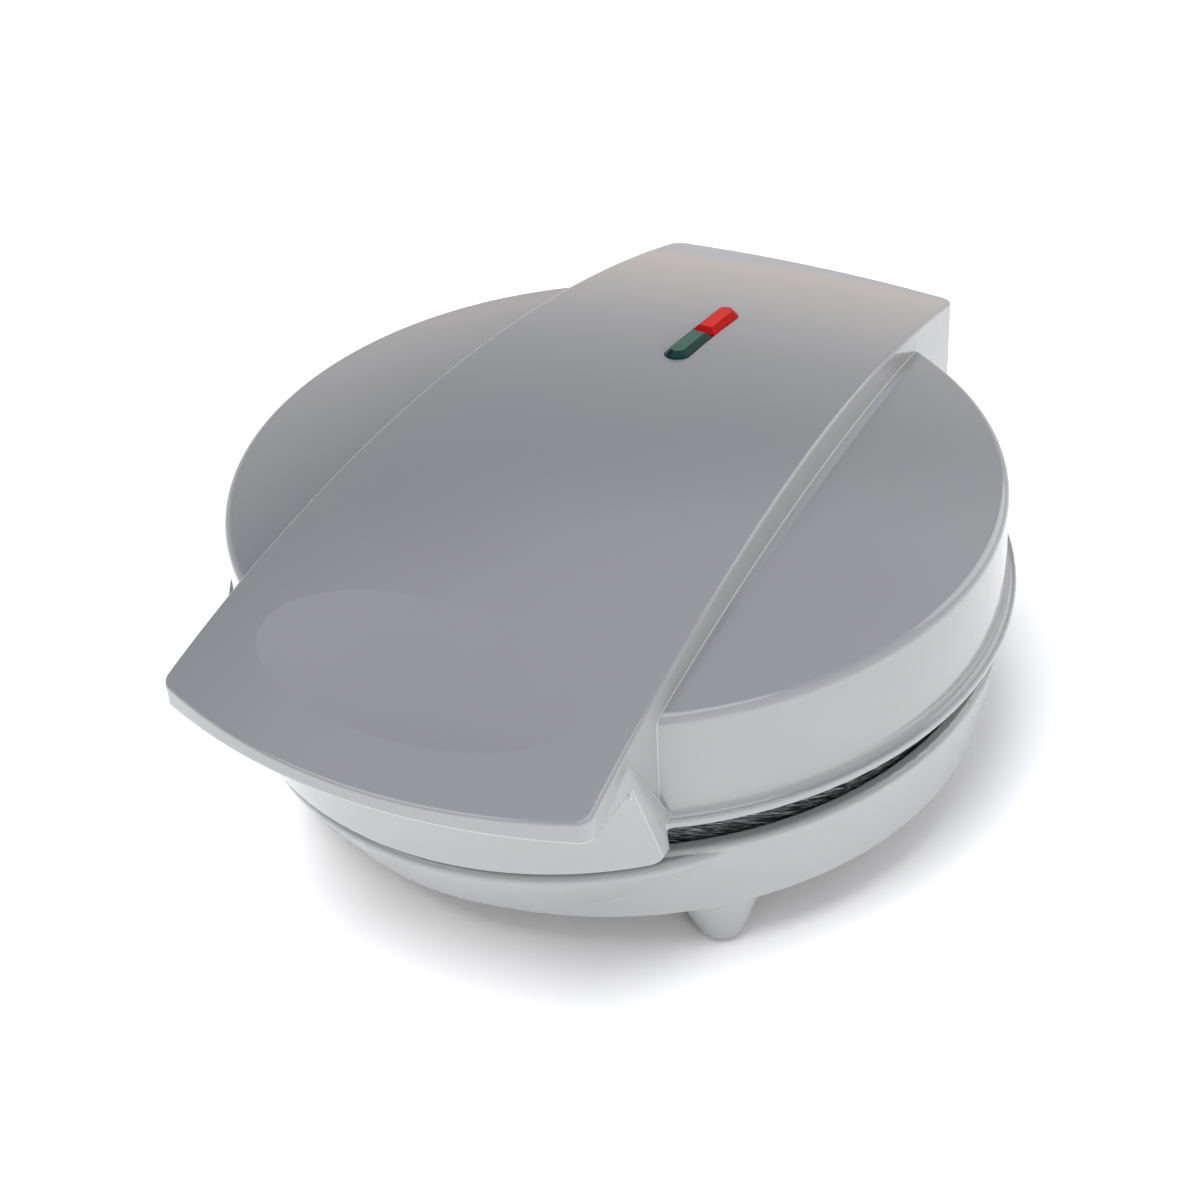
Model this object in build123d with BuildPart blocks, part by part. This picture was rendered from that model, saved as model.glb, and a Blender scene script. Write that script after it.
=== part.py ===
from build123d import *
from math import acos, cos, degrees, radians, sin, sqrt, tan
import os

# Doughnut maker: a round clam-shell cooker with seven ring moulds, a wide handle band
# over its lid and a hinge at the back. Front is -Y, up is +Z, sizes in millimetres.
# The origin is on the floor, under the middle of the whole outline.

# Walls and running gaps
wall = 2.5
play = 0.3
pin_play = 0.05

# Heating plates with ring moulds
ring_pitch = 58.5
mould_radius = 17.0
tube_radius = 10.0
cup_wall = 1.6
cup_radius = mould_radius + tube_radius + cup_wall
cup_depth = tube_radius + 2.6
plate_radius = ring_pitch + cup_radius + 8.5
plate_sheet = 3.0
skirt_wall = 2.4
skirt_depth = 7.0

# Base bowl and the chin in front of it
rim_inner_radius = plate_radius + 1.2
base_radius = rim_inner_radius + 3.5
base_foot_radius = base_radius - 3.3
foot_step = 3.0
rim_round = 1.4
bottom_round = 2.0
chin_shift = 25.7
chin_radius = base_radius - 15.8
chin_foot_radius = base_foot_radius - 25.0
chin_drop = 1.0
chin_round = 2.0

# Lid disc
flange_radius = base_radius + 2.8
flange_low = 1.2
flange_high = 2.1
flange_round = 0.5
flare_size = 2.1
lid_radius = flange_radius - 3.1
lid_edge_round = 2.5
lid_crown = 8.5

# Hinge, and the whole length from the handle to the hood over the hinge
hinge_y = base_radius + 5.7
hinge_reach = 16.3
rear_reach = hinge_y + hinge_reach
handle_overhang = 27.2
handle_reach = base_radius + handle_overhang
plate_y = (handle_reach - rear_reach) / 2

# Heights above the floor
rim_height = 40.4
seam_height = 44.0
lid_lip_height = 50.2
lid_edge_height = 81.0
bowl_depth = 26.5
floor_top = seam_height - bowl_depth
floor_bottom = floor_top - wall
foot_height = floor_top + 0.5

# Feet, cones that lean out with the wall of the bowl
foot_circle = base_foot_radius - 9.6
foot_angle = 46.4
foot_top_radius = 13.0
foot_tip_radius = 5.3
foot_round = 3.0
pad_radius = 2.8
pad_height = 2.4
pad_proud = 0.8

# Handle band over the lid
arch_radius = 400.0
arch_peak_y = 2.0
arch_rise = 16.6
cross_radius = 900.0
band_front_half = 57.0
band_waist_half = 53.6
band_waist_y = -35.0
band_rear_half = 44.6
band_front_y = handle_reach - 11.0
band_front_round = 4.0
band_rear_y = rear_reach - 1.5
band_rear_round = 4.5
band_edge_round = 0.9
hood_lift = 1.0

# Finger scoop and apron under the handle
brim_underside = 72.0
scoop_round = 5.5
apron_top_shift = 32.2
apron_top_back = 41.2
apron_top_radius = handle_reach - apron_top_back
apron_foot_shift = 25.7
apron_foot_back = 42.4
apron_foot_radius = handle_reach - apron_foot_back
apron_height = 42.7
tab_half = band_front_half + 1.8
tab_round = 3.0
ridge_top_back = 29.6
ridge_foot_back = 46.7
ridge_top = (ridge_top_back - handle_reach, lid_edge_height - 0.5)
ridge_foot = (ridge_foot_back - handle_reach, lid_lip_height)

# Thumb dish on the handle
thumb_back = 32.5
thumb_y = handle_reach - thumb_back
thumb_long = 885.0
thumb_round = 133.0
thumb_depth = 2.0

# Lamp window
window_y = 50.5
window_length = 35.6
window_width = 7.0
lens_gap = 1.2
lens_proud = 1.5
lens_slope = 1.4
lens_flange = 1.6
lens_rim = 2.0
lens_play = 0.15
lens_seat = wall + 0.7
carrier_seat = lens_seat + lens_flange + 0.1

# Thermostat
thermostat_radius = 8.0
thermostat_height = 6.5
thermostat_ear = 1.0
thermostat_screw_x = 11.5
thermostat_screw_grip = 2.6
thermostat_head_radius = 2.3
thermostat_ear_width = 7.0
thermostat_edge = 0.8
blade_rise = 4.5
blade_spread = 2.6
blade_reach = 14.0
blade_size = (2.8, 0.8)

# Plate screws and the pillars that take them
screw_circle = plate_radius - 9.6
screw_angles = [30, 150, 210, 330]
pillar_radius = 5.0
boss_depth = 8.0
screw_radius = 1.7
head_radius = 3.1
head_height = 2.2

# Tubular heating elements
element_radius = 3.3
element_circle = 46.0
element_turn = 12.0
element_gap = 8.0
element_leg = rim_inner_radius - 22.8
terminal_radius = 1.1
terminal_length = 9.0
element_play = 0.2

# Clips that hold each element to its plate
clip_angles = [0, 120, 240]
clip_sheet = 1.2
clip_width = 9.0
clip_screw_radius = 1.4
clip_head_radius = 2.7
clip_head_height = 1.8
clip_screw_length = 8.0

# Heat shields
shield_radius = 77.0
shield_sheet = 0.8
shield_rim = 2.6
shield_gap = 1.6
shield_screw_circle = 67.0
shield_screw_angles = [30, 150, 270]
post_radius = 3.6

# Hinge
hinge_height = 46.0
arm_inner = 22.0
arm_width = 6.0
lug_width = 4.5
knuckle_radius = 7.4
pin_radius = 4.0
pin_bore = 2.7
pin_head = 0.8
arm_root_size = (4.0, 7.0)
arm_root_height = 34.5

# Wiring
lead_radius = 2.1
fine_lead = 1.0
lead_x = 4.0
lead_low = floor_top + lead_radius + 0.9
block_size = (18.0, 8.0, 9.0)
block_x = -26.0
block_y = base_foot_radius - 15.0
block_screw_radius = 1.8
inlet_x = -9.0
inlet_height = floor_top + 7.0
inlet_radius = 4.5
inlet_flange = 6.4
inlet_bore = 3.4
inlet_length = 10.0
lead_turn = 5.0
lead_stub = 3.0
lead_room = 5.0
lead_pitch = 1.6
lead_drop = (3.3, 7.6)
sleeve_line = -1.5
pin_line = 2.5


def level(height, turn=1):
    # Horizontal plane through the plates' axis, facing up or down
    return Plane(origin=(0, plate_y, height), x_dir=(1, 0, 0), z_dir=(0, 0, turn))


def upright(shift=0.0):
    # Upright plane across the object through an axis ahead of the plates' axis
    return Plane(origin=(0, plate_y - shift, 0), x_dir=(1, 0, 0), z_dir=(0, -1, 0))


def lengthwise(x=0.0):
    # Upright plane along the object, its own x to the back and y up
    return Plane(origin=(x, plate_y, 0), x_dir=(0, 1, 0), z_dir=(1, 0, 0))


def post(shift=0.0):
    # Upright axis of the plates, or of a round form ahead of them
    return Axis((0, plate_y - shift, 0), (0, 0, 1))


def save(piece, name):
    piece.part.label = name
    export_step(piece.part, f"parts/{name}.step")


os.makedirs("parts", exist_ok=True)


# Lid housing

def lid_disc(inset):
    # Round lid with its crowned top and drafted wall; outside it has a flared bottom flange
    low = lid_lip_height - inset
    top = lid_edge_height - inset
    edge = lid_edge_round
    reach = flange_radius - inset
    foot = reach - flange_round - flare_size
    ledge = lid_lip_height + flange_high + flange_round
    with BuildPart() as disc:
        with BuildSketch(upright()):
            with BuildLine():
                if inset == 0:
                    lip = Line((0, low), (reach - flange_low, low))
                    under = TangentArc(lip @ 1, (reach, low + flange_low), tangent=lip % 1)
                    face = Line(under @ 1, (reach, low + flange_high))
                    over = TangentArc(face @ 1, (reach - flange_round, ledge), tangent=face % 1)
                    flare = TangentArc(over @ 1, (foot, ledge + flare_size), tangent=over % 1)
                    side = Line(flare @ 1, (lid_radius, top - edge))
                else:
                    lip = Line((0, low), (foot, low))
                    side = Line(lip @ 1, (lid_radius - inset, top - edge))
                turn = TangentArc(side @ 1, (lid_radius - inset - edge, top), tangent=side % 1)
                crown = ThreePointArc(
                    turn @ 1,
                    ((lid_radius - inset - edge) / 2, top + lid_crown * 0.76),
                    (0, top + lid_crown),
                )
                Line(crown @ 1, lip @ 0)
            make_face()
        revolve(axis=post())
    return disc.part


def band_plan(inset):
    # Outline of the handle band seen from above, wide at the handle, with bowed ends
    front = band_front_y - inset
    rear = band_rear_y - inset
    with BuildSketch() as plan:
        with BuildLine():
            bow = ThreePointArc(
                (-band_front_half + inset, -front),
                (0, -handle_reach + inset),
                (band_front_half - inset, -front),
            )
            right = ThreePointArc(
                bow @ 1,
                (band_waist_half - inset, band_waist_y),
                (band_rear_half - inset, rear),
            )
            back = ThreePointArc(right @ 1, (0, rear_reach - inset), (-band_rear_half + inset, rear))
            ThreePointArc(back @ 1, (-band_waist_half + inset, band_waist_y), bow @ 0)
        make_face()
        fillet(plan.vertices().sort_by(Axis.Y)[:2], band_front_round - inset)
        fillet(plan.vertices().sort_by(Axis.Y)[-2:], band_rear_round - inset)
    return plan.sketch


def arch_block(inset):
    # Everything under the band's top, which is arched lengthwise and crowned across
    crown_height = lid_edge_height + arch_rise - inset
    half = band_front_half + 10
    edge_drop = cross_radius - sqrt(cross_radius**2 - half**2)
    pivot = crown_height + inset - arch_radius
    with BuildPart() as block:
        with BuildSketch(upright(-arch_peak_y)):
            with BuildLine():
                top = ThreePointArc(
                    (-half, crown_height - edge_drop),
                    (0, crown_height),
                    (half, crown_height - edge_drop),
                )
                Polyline(top @ 1, (half, floor_top), (-half, floor_top), top @ 0)
            make_face()
        revolve(axis=Axis((0, plate_y + arch_peak_y, pivot), (1, 0, 0)), revolution_arc=22)
        mirror(about=upright(-arch_peak_y))
    return block.part


def apron_cone(inset):
    # Leaning round body whose front is the apron behind the finger scoop
    span = brim_underside - apron_height
    with BuildPart() as cone:
        for rise in (-8, span + 8):
            share = rise / span
            radius = apron_foot_radius + share * (apron_top_radius - apron_foot_radius)
            shift = apron_foot_shift + share * (apron_top_shift - apron_foot_shift)
            with BuildSketch(level(apron_height + rise)):
                with Locations((0, -shift)):
                    Circle(radius - inset)
        loft(ruled=True)
    return cone.part


def thumb_form(inset):
    # Shallow dish for the thumbs, longer across the handle than along it
    offset = -thumb_y - arch_peak_y
    top = lid_edge_height + arch_rise - arch_radius + sqrt(arch_radius**2 - offset**2)
    lean = offset / arch_radius
    middle = (0, plate_y - thumb_y, top)
    out = (0, lean, sqrt(1 - lean**2))
    dish = Plane(origin=middle, x_dir=(1, 0, 0), z_dir=(0, -out[2], lean))
    half = band_front_half
    rise = thumb_long - sqrt(thumb_long**2 - half**2)
    depth = thumb_depth + inset
    ceiling = thumb_round - thumb_depth - 1
    with BuildPart() as form:
        with BuildSketch(dish):
            with BuildLine():
                low = ThreePointArc((-half, rise - depth), (0, -depth), (half, rise - depth))
                Polyline(low @ 1, (half, ceiling), (-half, ceiling), low @ 0)
            make_face()
        above = tuple(m + o * (thumb_round - thumb_depth) for m, o in zip(middle, out))
        revolve(axis=Axis(above, (1, 0, 0)), revolution_arc=20)
        mirror(about=dish)
    return form.part


def scoop_room(inset):
    # Room for the fingers, under the handle and in front of the apron
    ceiling = brim_underside + inset
    reach = handle_reach + 10
    with BuildPart() as room:
        with BuildSketch(lengthwise()):
            with Locations((-reach, 0)):
                Rectangle(reach / 2, ceiling, align=(Align.MIN, Align.MIN))
        extrude(amount=tab_half + 10, both=True)
        add(apron_cone(inset), mode=Mode.SUBTRACT)
    return room.part


def side_skirts():
    # Sides of the handle below the disc's edge, drafted out to the apron, in front of a ridge
    front = -band_front_y + band_front_round
    spread = band_front_half - 0.8
    with BuildPart() as skirts:
        with BuildSketch(upright()):
            with BuildLine():
                Polyline(
                    (-spread, ridge_top[1]),
                    (-tab_half, apron_height),
                    (tab_half, apron_height),
                    (spread, ridge_top[1]),
                    close=True,
                )
            make_face()
        extrude(amount=handle_reach)
        with BuildSketch(lengthwise()):
            with BuildLine():
                Polyline(
                    (front, brim_underside + 4),
                    ridge_top,
                    ridge_foot,
                    (ridge_foot[0], apron_height),
                    (front, apron_height),
                    close=True,
                )
            make_face()
        extrude(amount=2 * tab_half, both=True, mode=Mode.INTERSECT)
        add(scoop_room(0), mode=Mode.SUBTRACT)
    return skirts.part


def on_band_rim(edge):
    # True for an edge that runs along the rim of the band's top
    at = edge.center()
    side = abs(at.X) > band_rear_half / 2
    end = abs(at.Y - plate_y) > band_front_y
    return at.Z > brim_underside + 2 and (side or end)


def handle_band(inset):
    # Band with the finger scoop cut out under the handle, down to the apron
    with BuildPart() as band:
        with BuildSketch(level(apron_height)):
            add(band_plan(inset))
        extrude(amount=lid_edge_height + arch_rise - apron_height + 5)
        add(arch_block(inset), mode=Mode.INTERSECT)
        add(scoop_room(inset), mode=Mode.SUBTRACT)
        add(thumb_form(inset), mode=Mode.SUBTRACT)
    if inset > 0:
        return band.part
    form = band.part
    lips = form.edges().filter_by_position(Axis.Z, brim_underside - 0.1, brim_underside + 0.1)
    form = form.fillet(scoop_round, lips.sort_by(SortBy.LENGTH)[-1:])
    rims = form.edges().filter_by(Axis.Z, reverse=True).filter_by(on_band_rim)
    form = form.fillet(band_edge_round, rims)
    with BuildPart() as whole:
        add(form)
        add(side_skirts())
        with BuildSketch(upright()) as front:
            with Locations((0, apron_height)):
                Rectangle(2 * tab_half, handle_reach, align=(Align.CENTER, Align.MIN))
            fillet(front.vertices().group_by(Axis.Y)[0], tab_round)
        extrude(amount=2 * handle_reach, both=True, mode=Mode.INTERSECT)
    return whole.part


def lid_form(inset):
    # Whole outside of the lid, or the same form drawn in by the wall
    with BuildPart() as form:
        add(lid_disc(inset))
        add(handle_band(inset))
        with BuildSketch(level(apron_height - 20)):
            with Locations((0, rear_reach / 2)):
                Rectangle(2 * rear_reach, rear_reach + 20)
        extrude(amount=hinge_height + hood_lift - apron_height + 20, mode=Mode.SUBTRACT)
    return form.part


def window_plane():
    # Plane that lies on the band's top at the middle of the lamp window
    offset = window_y - arch_peak_y
    drop = arch_radius - sqrt(arch_radius**2 - offset**2)
    height = lid_edge_height + arch_rise - drop
    lean = offset / arch_radius
    slope = sqrt(1 - lean**2)
    return Plane(
        origin=(0, plate_y + window_y, height), x_dir=(1, 0, 0), z_dir=(0, lean, slope)
    )


def spots(radius, angles):
    # Points on a circle round the plates' axis
    return [(radius * cos(radians(a)), radius * sin(radians(a))) for a in angles]


def placed(points, turn):
    # The same points for a plane that faces down, whose own y runs to the front
    return [(x, turn * y) for x, y in points]


# Line on which the leads leave the base, and the hinge line they run up to
lead_rise = (lead_x, plate_y + block_y + sleeve_line, lead_low)
lead_exit = (lead_x, plate_y + base_radius + 1, lead_low + 12.3)
lead_slope = tuple(e - r for e, r in zip(lead_exit, lead_rise))
hinge_line = (plate_y + hinge_y, hinge_height)

low = (Align.CENTER, Align.CENTER, Align.MIN)
high = (Align.CENTER, Align.CENTER, Align.MAX)

# Heights of what is stacked behind each plate, counted from the seam
element_depth = cup_depth + element_play + element_radius
clip_depth = element_depth + element_radius + element_play
shield_depth = clip_depth + clip_sheet + shield_gap
upper_seam = seam_height + play
thermostat_seat = upper_seam + cup_depth

screw_spots = spots(screw_circle, screw_angles)
shield_spots = spots(shield_screw_circle, shield_screw_angles)
ring_angles = [60 * n for n in range(6)]
ring_spots = [(0, 0)] + spots(ring_pitch, ring_angles)
clip_spots = spots(ring_pitch, clip_angles)
lid_screw_length = 16.0
base_screw_seat = floor_top + 10.5
base_screw_length = seam_height - boss_depth - base_screw_seat + 6
shield_screw_length = 6.0

window = window_plane()
carrier_length = window_length + 12
carrier_width = window_width + 7
carrier_depth = 11.0
carrier_wall = 1.4
carrier_post = 4.0
carrier_screw_y = carrier_length / 2 + 4

# Shell of the lid with its pillars, posts and hinge lugs
lid_outer = lid_form(0)
with BuildPart() as lid_fittings:
    with BuildSketch(level(upper_seam + boss_depth)):
        with Locations(*screw_spots):
            Circle(pillar_radius)
    extrude(amount=60)
    with BuildSketch(level(upper_seam + shield_depth + shield_sheet)):
        with Locations(*shield_spots):
            Circle(post_radius)
    extrude(amount=60)
    with BuildSketch(window.offset(-carrier_seat)):
        with Locations((0, carrier_screw_y), (0, -carrier_screw_y)):
            Circle(carrier_post)
    extrude(amount=carrier_seat)
    for side in (-1, 1):
        inner = side * (arm_inner + arm_width + play)
        with BuildSketch(lengthwise(inner)):
            with Locations((hinge_y, hinge_height)):
                Circle(knuckle_radius)
            with Locations((hinge_y, (hinge_height + lid_edge_height) / 2)):
                Rectangle(2 * knuckle_radius, lid_edge_height - hinge_height)
        extrude(amount=side * lug_width)
    add(Part() + lid_outer + Pos(0, 0, -knuckle_radius - 5) * lid_outer, mode=Mode.INTERSECT)

with BuildPart() as lid_housing:
    add(lid_outer)
    add(lid_form(wall), mode=Mode.SUBTRACT)
    # Only the apron and the hood reach below the lip
    with BuildSketch(level(lid_lip_height)):
        Circle(flange_radius)
    extrude(amount=apron_height - lid_lip_height, mode=Mode.SUBTRACT)
    # Inward flange round the upper plate, open inside the hinge hood
    with BuildSketch(level(lid_lip_height)):
        Circle(lid_radius - wall / 2)
        Circle(rim_inner_radius, mode=Mode.SUBTRACT)
        with Locations((0, rear_reach)):
            Rectangle(2 * (band_rear_half - wall), rear_reach, mode=Mode.SUBTRACT)
    extrude(amount=wall)
    add(lid_fittings.part)
    with BuildSketch(window):
        SlotOverall(window_length, window_width, rotation=90)
    extrude(amount=2 * wall, both=True, mode=Mode.SUBTRACT)
    with BuildSketch(window.offset(-carrier_seat)):
        with Locations((0, carrier_screw_y), (0, -carrier_screw_y)):
            Circle(clip_screw_radius + pin_play)
    extrude(amount=wall + 1, mode=Mode.SUBTRACT)
    with BuildSketch(level(upper_seam)):
        with Locations(*screw_spots):
            Circle(screw_radius + pin_play)
    extrude(amount=lid_screw_length + 4, mode=Mode.SUBTRACT)
    with BuildSketch(level(upper_seam + shield_depth)):
        with Locations(*shield_spots):
            Circle(clip_screw_radius + pin_play)
    extrude(amount=shield_screw_length + 1, mode=Mode.SUBTRACT)
    with BuildSketch(lengthwise()):
        with Locations((hinge_y, hinge_height)):
            Circle(pin_radius + pin_play)
    extrude(amount=band_rear_half - 2 * wall, both=True, mode=Mode.SUBTRACT)
save(lid_housing, "lid_housing")


# Base housing

def bowl(inset):
    # Round bowl, drawn in towards the foot, with a rounded rim; the inside is straighter
    with BuildPart() as form:
        with BuildSketch(upright()) as profile:
            with BuildLine():
                if inset == 0:
                    Polyline(
                        (0, floor_bottom),
                        (base_foot_radius - foot_step - 1, floor_bottom),
                        (base_foot_radius, floor_bottom + foot_step),
                        (base_radius, rim_height),
                        (0, rim_height),
                        close=True,
                    )
                else:
                    Polyline(
                        (0, floor_top),
                        (base_foot_radius - inset - 1, floor_top),
                        (rim_inner_radius, rim_height - 10),
                        (rim_inner_radius, rim_height + 5),
                        (0, rim_height + 5),
                        close=True,
                    )
            make_face()
            if inset == 0:
                outer = profile.vertices().sort_by(Axis.X)
                fillet(outer[-1], rim_round)
                fillet(outer[-2:-3:-1], bottom_round)
        revolve(axis=post())
    return form.part


def chin(inset):
    # Chin below the handle: a wider round form, ahead of the bowl and drawn in below
    top = rim_height - chin_drop - inset
    foot = floor_bottom + inset
    with BuildPart() as form:
        with BuildSketch(upright(chin_shift)) as profile:
            with BuildLine():
                Polyline(
                    (0, foot),
                    (chin_foot_radius - foot_step - 1 - inset, foot),
                    (chin_foot_radius - inset, foot + foot_step),
                    (chin_radius - inset, top),
                    (0, top),
                    close=True,
                )
            make_face()
            if inset == 0:
                outer = profile.vertices().sort_by(Axis.X)
                fillet(outer[-1], chin_round)
        revolve(axis=post(chin_shift))
    return form.part


def wall_radius(height):
    # Outside radius of the bowl's drafted wall at a height
    foot = floor_bottom + foot_step
    share = (height - foot) / (rim_height - foot)
    return base_foot_radius + share * (base_radius - base_foot_radius)


foot_angles = [foot_angle, 180 - foot_angle, 180 + foot_angle, -foot_angle]
foot_spots = spots(foot_circle, foot_angles)
foot_top_spots = spots(base_foot_radius - foot_top_radius, foot_angles)
vent_size = (3.0, 22.0)
vent_pitch = (14.0, 50.0)
arm_root = (sqrt(rim_inner_radius**2 - arm_inner**2) + wall - play, arm_root_height)

with BuildPart() as feet:
    for tip, top in zip(foot_spots, foot_top_spots):
        with BuildSketch(level(pad_proud)):
            with Locations(tip):
                Circle(foot_tip_radius)
        with BuildSketch(level(foot_height)):
            with Locations(top):
                Circle(foot_top_radius)
        loft()
    fillet(feet.edges().group_by(Axis.Z)[0], foot_round)

with BuildPart() as base_housing:
    add(bowl(0))
    add(chin(0))
    add(feet.part)
    add(bowl(wall), mode=Mode.SUBTRACT)
    add(chin(wall), mode=Mode.SUBTRACT)
    # Hinge arms
    for side in (-1, 1):
        with BuildSketch(lengthwise(side * arm_inner)):
            with Locations((hinge_y, hinge_height)):
                Circle(knuckle_radius)
            with Locations(arm_root):
                Rectangle(*arm_root_size)
            make_hull()
        extrude(amount=side * arm_width)
    # Pillars for the plate screws and posts for the heat shield
    with BuildSketch(level(floor_bottom)):
        with Locations(*screw_spots):
            Circle(pillar_radius)
    extrude(amount=seam_height - boss_depth - floor_bottom)
    with BuildSketch(level(floor_bottom)):
        with Locations(*shield_spots):
            Circle(post_radius)
    extrude(amount=seam_height - shield_depth - shield_sheet - floor_bottom)
    # Holes
    with BuildSketch(level(floor_bottom)):
        with Locations(*screw_spots):
            Circle(head_radius + play)
    extrude(amount=base_screw_seat - floor_bottom, mode=Mode.SUBTRACT)
    with BuildSketch(level(floor_bottom)):
        with Locations(*screw_spots):
            Circle(screw_radius + play)
    extrude(amount=seam_height, mode=Mode.SUBTRACT)
    with BuildSketch(level(seam_height - shield_depth)):
        with Locations(*shield_spots):
            Circle(clip_screw_radius + pin_play)
    extrude(amount=-shield_screw_length, mode=Mode.SUBTRACT)
    with BuildSketch(lengthwise()):
        with Locations((hinge_y, hinge_height)):
            Circle(pin_radius + pin_play)
    extrude(amount=arm_inner + arm_width + 1, both=True, mode=Mode.SUBTRACT)
    with BuildSketch(Plane(origin=(0, plate_y, 0), x_dir=(1, 0, 0), z_dir=(0, -1, 0))):
        with Locations((inlet_x, inlet_height)):
            Circle(inlet_radius + pin_play)
    extrude(amount=-rear_reach, mode=Mode.SUBTRACT)
    with BuildSketch(Plane(origin=lead_rise, x_dir=(1, 0, 0), z_dir=lead_slope)):
        Circle(lead_radius + 2 * play)
    extrude(amount=rim_inner_radius, mode=Mode.SUBTRACT)
    for x, y in foot_spots:
        with BuildSketch(Plane.XY):
            with Locations((x, plate_y + y)):
                Circle(pad_radius + pin_play)
        extrude(amount=pad_height, mode=Mode.SUBTRACT)
    with BuildSketch(level(floor_bottom)):
        with GridLocations(vent_pitch[0], vent_pitch[1], 5, 2):
            SlotOverall(vent_size[1], vent_size[0], rotation=90)
    extrude(amount=wall, mode=Mode.SUBTRACT)
save(base_housing, "base_housing")

with BuildPart() as foot_pads:
    with BuildSketch(level(0)):
        with Locations(*foot_spots):
            Circle(pad_radius)
    extrude(amount=pad_height)
save(foot_pads, "foot_pads")


# Heating plates, one casting used twice

def heating_plate(seam, turn):
    # Cast plate with seven half rings, their cups, a skirt and four screw bosses
    face = level(seam, turn)
    with BuildPart(face) as plate:
        Cylinder(plate_radius, plate_sheet, align=low)
        with BuildSketch(face):
            Circle(plate_radius)
            Circle(plate_radius - skirt_wall, mode=Mode.SUBTRACT)
        extrude(amount=skirt_depth)
        with Locations(*ring_spots):
            Cylinder(cup_radius, cup_depth, align=low)
        with Locations(*screw_spots):
            Cylinder(pillar_radius, boss_depth, align=low)
        with Locations(*ring_spots):
            Torus(mould_radius, tube_radius, mode=Mode.SUBTRACT)
        with Locations(Location((0, 0, cup_depth))):
            with Locations(*placed(clip_spots, turn)):
                Cylinder(clip_screw_radius + pin_play, clip_screw_length, align=high, mode=Mode.SUBTRACT)
    return plate


with BuildPart() as lower_plate:
    add(heating_plate(seam_height, -1).part)
    with BuildSketch(level(seam_height - boss_depth)):
        with Locations(*screw_spots):
            Circle(screw_radius + pin_play)
    extrude(amount=boss_depth - 1.5, mode=Mode.SUBTRACT)
save(lower_plate, "lower_plate")

with BuildPart() as upper_plate:
    add(heating_plate(upper_seam, 1).part)
    with BuildSketch(level(upper_seam)):
        with Locations(*screw_spots):
            Circle(head_radius + play)
    extrude(amount=head_height + play, mode=Mode.SUBTRACT)
    with BuildSketch(level(upper_seam)):
        with Locations(*screw_spots):
            Circle(screw_radius + play)
    extrude(amount=boss_depth, mode=Mode.SUBTRACT)
    with BuildSketch(level(thermostat_seat)):
        with Locations((thermostat_screw_x, 0), (-thermostat_screw_x, 0)):
            Circle(clip_screw_radius + pin_play)
    extrude(amount=-thermostat_screw_grip - play, mode=Mode.SUBTRACT)
save(upper_plate, "upper_plate")


# Screws

def screws(plane, points, shank, length, head, rise):
    # A set of like screws, whose heads stand on the plane
    with BuildPart(plane) as group:
        with Locations(*points):
            Cylinder(shank, length, align=high)
            Cylinder(head, rise, align=low)
    return group


lower_screw_plane = level(base_screw_seat, -1)
lower_plate_screws = screws(
    lower_screw_plane, screw_spots, screw_radius, base_screw_length, head_radius, head_height
)
save(lower_plate_screws, "lower_plate_screws")
upper_screw_plane = level(upper_seam + head_height + play, -1)
upper_plate_screws = screws(
    upper_screw_plane, screw_spots, screw_radius, lid_screw_length, head_radius, head_height
)
save(upper_plate_screws, "upper_plate_screws")


# Tubular heating elements

def heating_element(height):
    # Tube bent to a ring, with two ends that turn out to the back, and a pin in each
    start = plate_y + element_leg
    reach = element_gap + element_turn
    spread = element_circle + element_turn
    leg_end = plate_y + sqrt(spread**2 - reach**2)
    swing = degrees(acos(reach / spread))
    with BuildPart() as element:
        with BuildLine() as route:
            leg = Line((element_gap, start, height), (element_gap, leg_end, height))
            out = JernArc(leg @ 1, leg % 1, element_turn, swing)
            loop = JernArc(out @ 1, out % 1, element_circle, -180 - 2 * swing)
            back = JernArc(loop @ 1, loop % 1, element_turn, swing)
            Line(back @ 1, (-element_gap, start, height))
        with BuildSketch(Plane(origin=leg @ 0, z_dir=leg % 0)):
            Circle(element_radius)
        sweep(path=route.wires()[0])
        with BuildSketch(Plane(origin=(0, start, height), x_dir=(1, 0, 0), z_dir=(0, 1, 0))):
            with Locations((element_gap, 0), (-element_gap, 0)):
                Circle(terminal_radius)
        extrude(amount=terminal_length)
    return element


lower_element = heating_element(seam_height - element_depth)
save(lower_element, "lower_element")
upper_element = heating_element(upper_seam + element_depth)
save(upper_element, "upper_element")


# Spring clips over the elements

def element_clips(seam, turn):
    # Three bent strips, each screwed to the post of a ring and hooked over the tube
    heel = element_circle + element_radius + element_play
    tip = element_circle - element_radius - 1
    end = ring_pitch + 5
    seat = cup_depth
    top = clip_depth
    with BuildPart() as clips:
        for angle in clip_angles:
            out = (cos(radians(angle)), sin(radians(angle)), 0)
            across = (turn * out[1], -turn * out[0], 0)
            with BuildSketch(Plane(origin=(0, plate_y, seam), x_dir=out, z_dir=across)):
                with BuildLine():
                    Polyline(
                        (heel, seat),
                        (end, seat),
                        (end, seat + clip_sheet),
                        (heel + clip_sheet, seat + clip_sheet),
                        (heel + clip_sheet, top + clip_sheet),
                        (tip, top + clip_sheet),
                        (tip, top),
                        (heel, top),
                        close=True,
                    )
                make_face()
            extrude(amount=clip_width / 2, both=True)
        with BuildSketch(level(seam)):
            with Locations(*clip_spots):
                Circle(clip_screw_radius + play / 2)
        extrude(amount=turn * shield_depth, mode=Mode.SUBTRACT)
    return clips


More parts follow.
